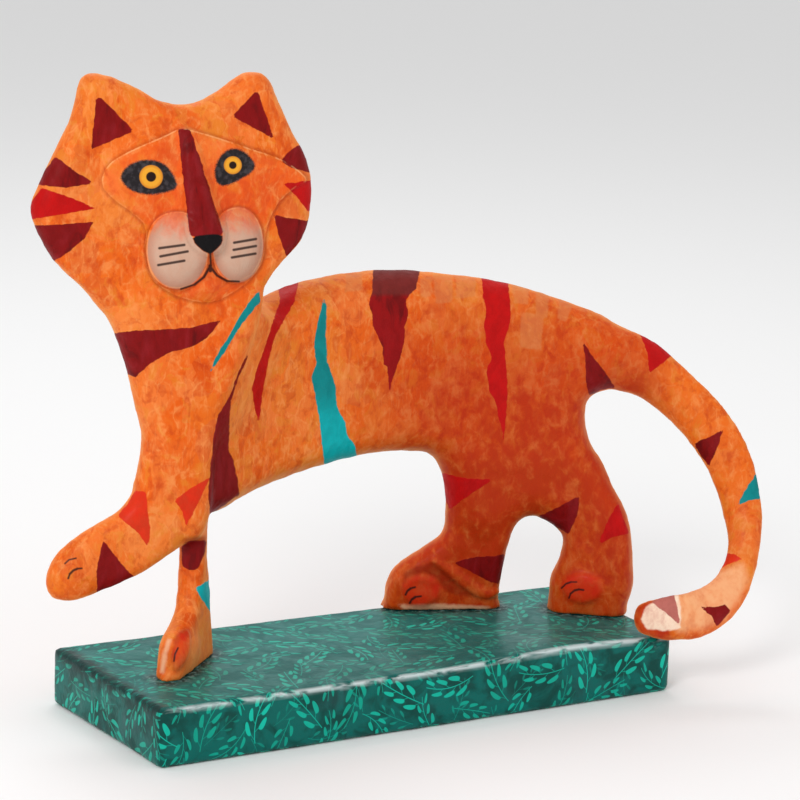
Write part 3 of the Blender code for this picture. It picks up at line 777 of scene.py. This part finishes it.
def raiseForms(points, normals):
    spots = toPicture(points)
    shown = bounded(facingEye(points, normals) * 4.0)
    lift = np.zeros(len(points))
    for outline, height, step in raisedForms.values():
        depth = deepest(spots, {"outline": rounded(outline)})
        share = bounded(depth / step + 0.5)
        lift += share * share * (3.0 - 2.0 * share) * height * mm
    return points + normals * (lift * shown)[:, None]


headBoard = {
    "origin": (-0.109, 0.003, 0.0),  # the head's middle plane
    "heading": -8.0,                 # degrees
    "face": 1.0 * mm,                # the face lies this far in front of it
    "foot": 190 * mm,
    "right": -30 * mm,
}
# The stripes near the neck end behind it: distances behind the head's middle plane, then
# limits in picture units
neckEnds = {"behind": 13.5 * mm, "fade": 6.0 * mm, "reach": 6.0, "right": 262.0,
            "neckRight": 200.0, "neckTop": 320.0, "neckFoot": 385.0, "sunk": 44.0}
paintedAreas = {
    "paintDarkRed": stripesDarkRed, "paintBrightRed": stripesBrightRed,
    "paintRedOrange": stripesRedOrange, "paintTeal": stripesTeal, "paintPurple": stripesPurple,
    "paintPawRed": pawRed, "paintNose": noseBlack, "paintScraps": backScraps,
    "paintSoleHighlight": soleHighlightAreas, "paintTipPale": tipPale, "paintTipPeach": tipPeach,
    "paintNoseStripe": stripeNose, "paintFoldShade": foldShades,
    "paintNoseAll": {**stripeNose, **noseBlack},
    "paintEyes": {name: rounded(outline, 1) for name, outline in eyesCharcoal.items()},
    "paintPads": {name: rounded(raisedForms[name][0]) for name in ("leftPad", "rightPad")},
    "paintMask": {"mask": rounded(raisedForms["mask"][0], 1)},
}


def behindNeck(spots, proud, facing):
    # 1 where the stripes drawn near the neck would show on what lies behind it
    nearNeck = {"neck": stripesDarkRed["neck"], "fold": stripesDarkRed["fold"],
                "chestEdge": stripesTeal["chestEdge"]}
    behind = bounded((-proud - neckEnds["behind"]) / neckEnds["fade"]) * (facing < 0.0)
    hidden = behind * (deepest(spots, nearNeck) > -neckEnds["reach"])
    hidden *= spots[:, 0] < neckEnds["right"]
    onNeck = (spots[:, 0] < neckEnds["neckRight"]) & (spots[:, 1] > neckEnds["neckTop"])
    onNeck &= (spots[:, 1] < neckEnds["neckFoot"]) & (proud < -neckEnds["behind"])
    return np.where(onNeck, 1.0, hidden)


def makeTiger():
    tiger = mergedCopy(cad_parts["tiger"], "tigerFigure")
    remesh(tiger, tigerLook["voxel"], tigerLook["smoothPasses"])
    applyRelief(tiger, reliefTree("paperSkin", paintTiger()), tigerLook["relief"])
    mesh = tiger.data
    points = raiseForms(readPoints(mesh), readNormals(mesh))
    points[:, 2] = np.maximum(points[:, 2], tigerLook["soleLevel"])
    writePoints(mesh, points)
    spots = toPicture(points)
    facing = facingEye(points, readNormals(mesh))
    turn = math.radians(headBoard["heading"])
    outward = np.array([math.sin(turn), -math.cos(turn), 0.0])
    proud = (points - np.array(headBoard["origin"])) @ outward
    head = (proud > headBoard["face"]) & (points[:, 2] > headBoard["foot"])
    head &= points[:, 0] < headBoard["right"]
    storeVector(mesh, "picture", np.column_stack([spots, np.zeros(len(spots))]))
    storeNumber(mesh, "showFace", bounded(facing * 5.0 + 0.2))
    storeNumber(mesh, "headPart", head)
    storeNumber(mesh, "along", points[:, 0])
    storeNumber(mesh, "rise", points[:, 2])
    # rim: where the painted highlight goes, on the edges turned away from the show view
    storeNumber(mesh, "rim", bounded(1.0 - np.abs(facing) * 1.6) ** 1.5)
    sunk = behindNeck(spots, proud, facing) * neckEnds["sunk"]
    for name, outlines in paintedAreas.items():
        depth = deepest(spots, outlines)
        if name in ("paintDarkRed", "paintTeal", "paintBrightRed"):
            depth = depth - sunk
        storeNumber(mesh, name, depth)
    for face in mesh.polygons:
        face.use_smooth = True
    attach(tiger, "root")
    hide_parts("tiger")
    print("tiger", len(mesh.vertices), "points")


# Plinth

plinthLook = {
    "voxel": 1.5 * mm,
    "smoothPasses": 1,
    "relief": {"swellSize": 60 * mm, "swellHeight": 1.3 * mm, "creaseSize": 26 * mm,
               "creaseHeight": 0.22 * mm, "toothSize": 7 * mm, "toothHeight": 0.12 * mm},
    "topLevel": 30 * mm,
    "edgeRound": 1.2 * mm,
    "frontEdge": (-60.0 * mm, -55.5 * mm),  # at the head end and at the tail end
    "halfLength": 150 * mm,
    "bow": 2.6 * mm,             # the front edge's top rises towards the tail end
    "bowPlace": 88 * mm,
    "bowLength": 46 * mm,
    "bowDepth": 26 * mm,
    "restingHalf": (148 * mm, 54 * mm),     # the underside is flat this far out
    "wornAndHighlightWidth": 1.6 * mm,
    "grimeWidth": 8.0 * mm,
    "footSpread": 8.0 * mm,
    "ground": (0, 97, 90),
    "groundDark": (0, 70, 64),
    "groundGrey": (50, 74, 78),
    "groundLitTop": (0, 130, 126),
    "leaf": (0, 157, 134),
    "leafPale": (18, 188, 163),
    "wornAndHighlight": (200, 212, 212),
    "grime": (8, 44, 42),
    "footGrimeAndShadow": (20, 42, 44),
    "footFilm": (98, 128, 126),
}
paperSheet = {
    "half": (151 * mm, 58.5 * mm),  # the top's half length and half width
    "underShift": 400 * mm,         # the underside's part of the sheet lies this far off
    "perMetre": 10.0,               # the map holds decimetres
    "perDecimetre": 100.0,          # and the sprigs are drawn in millimetres
}
sprigLook = {
    "cell": 27.5,                # millimetres; each cell holds one sprig
    "length": 28.0,
    "spacing": 8.0,
    "leafLength": 9.8,
    "leafShrink": 0.45,          # how much shorter the leaves at the tip are
    "leafWidth": 1.85,           # half of the widest place
    "petiole": 0.34,             # share of the leaf's length that is stalk
    "petioleWidth": 0.16,
    "leafAngle": 40.0,           # degrees off the stem
    "curl": 0.02,                # how fast the stem bends, per millimetre
    "stemWidth": 0.22,
    # turn in degrees, shift in cells, size, leaf width share, how strong it shows
    "sets": [(38.0, 0.2, 0.8, 0.5, 0.35), (0.0, 0.5, 0.8, 0.9, 0.85), (0.0, 0.0, 1.0, 1.0, 1.0)],
}


def sprigPlace(net, start):
    # Where a point lies in its own cell's sprig, and three chances for that cell
    cell = (sprigLook["cell"],) * 3
    flat = (1.0, 1.0, 0.0)
    shift = net.times(start.outputs["Shift"], sprigLook["cell"])
    moved = net.node('ShaderNodeCombineXYZ', {0: shift, 1: shift}).outputs[0]
    spot = net.vector('ADD', net.turned(start.outputs["Place"], start.outputs["Turn"]), moved)
    corner = net.vector('FLOOR', net.vector('DIVIDE', spot, cell))
    chance = net.node('ShaderNodeTexWhiteNoise', {"Vector": net.vector('MULTIPLY', corner, flat),
                                                  "W": start.outputs["Set"]}, noise_dimensions='4D')
    chances = net.split(chance.outputs["Color"], 'ShaderNodeSeparateColor')
    local = net.vector('SUBTRACT', spot, net.vector('MULTIPLY', corner, cell))
    local = net.vector('SUBTRACT', local, (sprigLook["cell"] / 2.0,) * 3)
    local = net.scaled(net.vector('MULTIPLY', local, flat),
                       net.math('DIVIDE', 1.0, start.outputs["Size"]))
    return net.split(net.turned(local, net.times(chances[0], math.tau))), chances


def sprigGroup():
    # One set of leaf sprigs, each turned its own way in a cell of its own
    look = sprigLook
    tree = bpy.data.node_groups.new("leafSprigs", 'ShaderNodeTree')
    tree.interface.new_socket("Place", in_out='INPUT', socket_type='NodeSocketVector')
    for label in ("Set", "Turn", "Shift", "Size", "Width"):
        tree.interface.new_socket(label, in_out='INPUT', socket_type='NodeSocketFloat')
    for label in ("Leaf", "Tone"):
        tree.interface.new_socket(label, in_out='OUTPUT', socket_type='NodeSocketFloat')
    net = Wiring(tree)
    start = net.node('NodeGroupInput')
    local, chances = sprigPlace(net, start)
    along = local[0]
    bend = net.times(along, along, net.minus(chances[1], 0.5), look["curl"] * 2.0)
    across = net.minus(local[1], bend)
    size = net.math('ABSOLUTE', across)
    # Leaves leave the stem by turns on both sides, shorter towards the tip
    angle = math.radians(look["leafAngle"])
    side = net.math('GREATER_THAN', across, 0.0)
    foot = net.minus(along, net.times(size, 1.0 / math.tan(angle)))
    foot = net.plus(foot, net.times(side, look["spacing"] / 2.0))
    base = net.times(net.math('ROUND', net.math('DIVIDE', foot, look["spacing"])), look["spacing"])
    beside = net.math('ABSOLUTE', net.times(net.minus(foot, base), math.sin(angle)))
    half = look["length"] / 2.0
    shrink = net.times(net.plus(base, half), look["leafShrink"] / look["length"])
    length = net.times(net.minus(1.0, shrink), look["leafLength"])
    share = net.math('DIVIDE', net.math('DIVIDE', size, math.sin(angle)), length)
    # A teardrop on a stalk: thin at its foot, widest past the middle, round at its end
    blade = net.math('DIVIDE', net.minus(share, look["petiole"]), 1.0 - look["petiole"])
    swell = net.math('POWER', net.math('MAXIMUM', blade, 0.0001), 0.95)
    close = net.math('POWER', net.math('MAXIMUM', net.minus(1.0, blade), 0.0), 0.5)
    width = net.times(swell, close, look["leafWidth"] * 2.6, start.outputs["Width"])
    width = net.math('MAXIMUM', width, look["petioleWidth"])
    leaf = net.times(net.ramp(net.minus(width, beside), -0.16, 0.3),
                     net.math('LESS_THAN', net.math('ABSOLUTE', base), half),
                     net.math('LESS_THAN', share, 1.0))
    stem = net.times(net.ramp(size, look["stemWidth"] + 0.15, look["stemWidth"] - 0.15),
                     net.math('LESS_THAN', net.math('ABSOLUTE', along), half))
    net.node('NodeGroupOutput', {"Leaf": net.math('MAXIMUM', leaf, stem), "Tone": chances[2]})
    return tree


def paintPlinth():
    kit = Shading("leafPaper", plinthLook)
    place = kit.objectPlace()
    paper = kit.node('ShaderNodeUVMap', uv_map="paper").outputs[0]
    paper = kit.scaled(paper, paperSheet["perDecimetre"])
    mottle = kit.noise(place, 75.0, 4.0, 0.8)
    dabs = kit.noise(place, 30.0, 3.0, 0.5)
    colour = kit.mix(kit.ramp(mottle, 0.4, 0.62), "ground", "groundDark")
    colour = kit.mix(kit.ramp(dabs, 0.54, 0.68, 0.0, 0.32), colour, "groundGrey")
    # The top is painted a lighter teal than the sides: painted light from above
    colour = kit.mix(kit.times(kit.attribute("upper"), 0.4), colour, "groundLitTop")
    group = sprigGroup()
    for turn, shift, size, width, strength in sprigLook["sets"]:
        sprigs = kit.node('ShaderNodeGroup', node_tree=group)
        for label, value in (("Place", paper), ("Set", 1.0 + turn + shift),
                             ("Turn", math.radians(turn)), ("Shift", shift), ("Size", size),
                             ("Width", width)):
            kit.feed(sprigs.inputs[label], value)
        tone = kit.mix(sprigs.outputs["Tone"], "leaf", "leafPale")
        share = kit.times(sprigs.outputs["Leaf"], kit.ramp(dabs, 0.3, 0.7, 1.0, 0.8), strength)
        colour = kit.mix(share, colour, tone)
    # Dark creased paper round each foot, with a painted contact shadow
    foot = kit.times(kit.attribute("footReach"), kit.ramp(mottle, 0.3, 0.6, 0.6, 1.4))
    wrinkles = kit.ramp(kit.noise(place, 330.0, 4.0, 0.8), 0.5, 0.62)
    film = kit.mix(wrinkles, "footGrimeAndShadow", "footFilm")
    colour = kit.mix(kit.math('MINIMUM', foot, 0.85), colour, film)
    # Varnish rubbed along the front's top edge, with a painted highlight there, and grime along the end's
    rub = kit.noise(kit.placed(place, stretch=(0.35, 1.0, 1.0)), 180.0, 4.0, 0.5)
    wornAndHighlight = kit.times(kit.attribute("frontEdge"), kit.ramp(rub, 0.36, 0.54))
    colour = kit.mix(wornAndHighlight, colour, "wornAndHighlight")
    grime = kit.times(kit.attribute("endEdge"), kit.ramp(rub, 0.35, 0.55, 0.3, 1.6))
    colour = kit.mix(kit.math('MINIMUM', grime, 0.9), colour, "grime")
    kit.feed(kit.shader.inputs["Base Color"], colour)
    kit.feed(kit.shader.inputs["Roughness"], kit.ramp(mottle, 0.3, 0.7, 0.28, 0.45))
    kit.shader.inputs["Specular IOR Level"].default_value = 0.12
    kit.shader.inputs["Coat Weight"].default_value = 0.075
    kit.shader.inputs["Coat Roughness"].default_value = 0.16
    height = kit.plus(kit.noise(place, 90.0, 3.0, 0.6), kit.times(kit.noise(place, 500.0), 0.3))
    kit.feed(kit.shader.inputs["Normal"], kit.bump(height, 0.7 * mm, 0.6))
    return kit.material


def unfoldPaper(mesh, points):
    # The sheet lies on the top and folds down over the sides
    layer = mesh.uv_layers.new(name="paper")
    count = len(mesh.polygons)
    normals = readField(mesh.polygons, "normal", 3)
    owner = np.repeat(np.arange(count), readField(mesh.polygons, "loop_total", 1, np.int32))
    axes = np.abs(normals).argmax(axis=1)
    side = axes[owner]
    sense = np.sign(normals[np.arange(count), axes])[owner]
    spots = points[readField(mesh.loops, "vertex_index", 1, np.int32)]
    halfLength, halfWidth = paperSheet["half"]
    drop = plinthLook["topLevel"] - spots[:, 2]
    across = np.where(side == 0, sense * (halfLength + drop), spots[:, 0])
    upward = np.where(side == 1, sense * (halfWidth + drop), spots[:, 1])
    under = (side == 2) & (sense < 0)
    upward = np.where(under, upward + paperSheet["underShift"], upward)
    places = np.column_stack([across, upward]) * paperSheet["perMetre"]
    layer.data.foreach_set("uv", places.astype(np.float32).ravel())


def bowEdge(points):
    # How far the front edge's top rises, and how far in from the edge each point lies
    look = plinthLook
    height = bounded(points[:, 2] / look["topLevel"])
    share = bounded(points[:, 0] / look["halfLength"] * 0.5 + 0.5)
    inward = points[:, 1] - (look["frontEdge"][0] * (1.0 - share) + look["frontEdge"][1] * share)
    rise = np.exp(-((points[:, 0] - look["bowPlace"]) / look["bowLength"]) ** 2)
    rise *= np.exp(-(np.maximum(inward, 0.0) / look["bowDepth"]) ** 2) * height ** 2
    return rise * look["bow"], inward


def makePlinth():
    look = plinthLook
    top, edgeRound = look["topLevel"], look["edgeRound"]
    plinth = mergedCopy(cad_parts["plinth"], "paperedPlinth")
    remesh(plinth, look["voxel"], look["smoothPasses"])
    applyRelief(plinth, reliefTree("plinthSkin", paintPlinth()), look["relief"])
    mesh = plinth.data
    points = readPoints(mesh)
    rise, inward = bowEdge(points)
    # No swell rises past the top into the soles, save for the front edge's bow
    points[:, 2] = np.maximum(np.minimum(points[:, 2], top) + rise, 0.0)
    resting = (np.abs(points[:, :2]) < look["restingHalf"]).all(axis=1)
    points[resting & (points[:, 2] < 1.0 * mm), 2] = 0.0
    writePoints(mesh, points)
    unfoldPaper(mesh, points)
    storeNumber(mesh, "upper", bounded(readNormals(mesh)[:, 2] * 4.0 - 3.0))
    edge = np.hypot(np.maximum(inward - edgeRound, 0.0),
                    np.minimum(points[:, 2] - rise - top + edgeRound, 0.0))
    storeNumber(mesh, "frontEdge", bounded(1.0 - edge / look["wornAndHighlightWidth"]))
    gap = np.full(len(points), 1.0)
    for corner in readPoints(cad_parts["tiger"].data):
        if corner[2] < top + 1.0 * mm:
            gap = np.minimum(gap, np.linalg.norm(points - corner, axis=1))
    storeNumber(mesh, "footReach", bounded(1.0 - gap / look["footSpread"]))
    end = np.hypot(points[:, 0] + look["halfLength"], points[:, 2] - top)
    storeNumber(mesh, "endEdge", bounded(1.0 - end / look["grimeWidth"]))
    for face in mesh.polygons:
        face.use_smooth = True
    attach(plinth, "root")
    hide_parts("plinth")
    print("plinth", len(mesh.vertices), "points")


# Floor, light and camera

studio = {
    "floor": (244, 244, 244),
    "floorReach": 6.0,
    "world": 0.72,
    "target": (0.0, 0.0, 0.15),
    # place and size in metres, power in watts
    "lights": {"key": ((-1.3, -1.15, 1.25), 0.6, 15.0), "fill": ((1.3, -1.2, 0.7), 1.2, 2.2),
               "top": ((0.2, 0.9, 1.5), 0.8, 6.5)},
    "sensor": 36.0,              # millimetres
    "nearest": 0.05,
    "farthest": 30.0,
}


def softLight(name, place, size, power):
    light = bpy.data.lights.new(name, 'AREA')
    light.shape = 'SQUARE'
    light.size = size
    light.energy = power
    aim = np.array(studio["target"]) - np.array(place)
    aim /= np.linalg.norm(aim)
    side = np.cross(aim, (0.0, 0.0, 1.0))
    side /= np.linalg.norm(side)
    turned = Matrix((side, np.cross(side, aim), -aim)).transposed().to_4x4()
    addObject(name, light).matrix_world = Matrix.Translation(place) @ turned


def makeStudio():
    mesh = bpy.data.meshes.new("floor")
    reach = studio["floorReach"]
    mesh.from_pydata([(-reach, -reach, 0.0), (reach, -reach, 0.0), (reach, reach, 0.0),
                      (-reach, reach, 0.0)], [], [(0, 1, 2, 3)])
    kit = Shading("floorPaper", studio)
    kit.feed(kit.shader.inputs["Base Color"], linear(studio["floor"]))
    kit.shader.inputs["Roughness"].default_value = 0.9
    mesh.materials.append(kit.material)
    addObject("floor", mesh)
    world = bpy.data.worlds.new("studio")
    world.use_nodes = True
    background = world.node_tree.nodes["Background"]
    background.inputs[0].default_value = (1.0, 1.0, 1.0, 1.0)
    background.inputs[1].default_value = studio["world"]
    bpy.context.scene.world = world
    for name, (place, size, power) in studio["lights"].items():
        softLight(name, place, size, power)


def makeCamera():
    right, up, ahead = viewAxes()
    lens = bpy.data.cameras.new("camera")
    lens.sensor_width = studio["sensor"]
    lens.lens = studio["sensor"] * showView["reach"] / (2.0 * showView["middle"])
    lens.clip_start = studio["nearest"]
    lens.clip_end = studio["farthest"]
    camera = addObject("camera", lens)
    turned = Matrix((right, up, -ahead)).transposed().to_4x4()
    camera.matrix_world = Matrix.Translation(showView["eye"]) @ turned
    bpy.context.scene.camera = camera


bpy.context.scene.view_settings.view_transform = 'Standard'
bpy.context.scene.view_settings.look = 'None'

makePlinth()
makeTiger()
makeStudio()
makeCamera()
print("studio and camera set")
